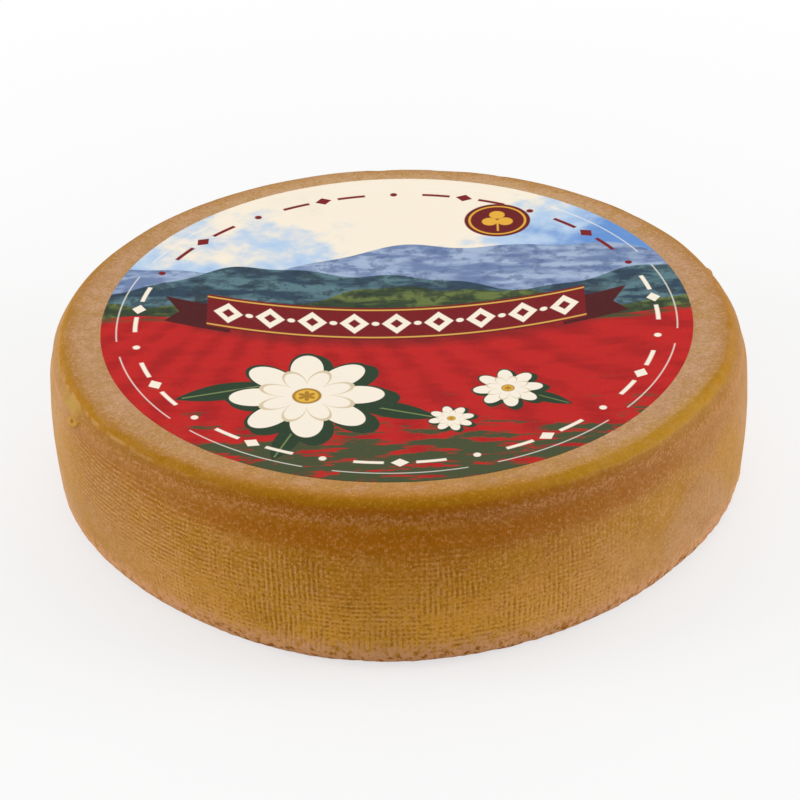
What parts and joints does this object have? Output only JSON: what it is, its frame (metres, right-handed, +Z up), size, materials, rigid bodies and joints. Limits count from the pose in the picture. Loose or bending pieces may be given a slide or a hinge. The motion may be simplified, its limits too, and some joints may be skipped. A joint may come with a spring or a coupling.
{
  "type": "alpine cheese wheel",
  "caption": "Whole washed-rind alpine cheese wheel with a rounded rim, a cloth-marked side and a round printed paper label on its flat top.",
  "frame": {"origin": "middle of the flat face that the wheel rests on, at the mean centre of its outline", "axes": "+Z up along the wheel's axis; the label reads from -Y, with +X to its right"},
  "size_m": [0.3005, 0.2905, 0.0768],
  "materials": {
    "rind": "washed cheese rind, matt and slightly moist, with a cloth imprint",
    "label_paper": "printed paper, matt"
  },
  "bodies": {
    "root": {"cheese_wheel": "rind", "paper_label": "label_paper"}
  },
  "joints": []
}
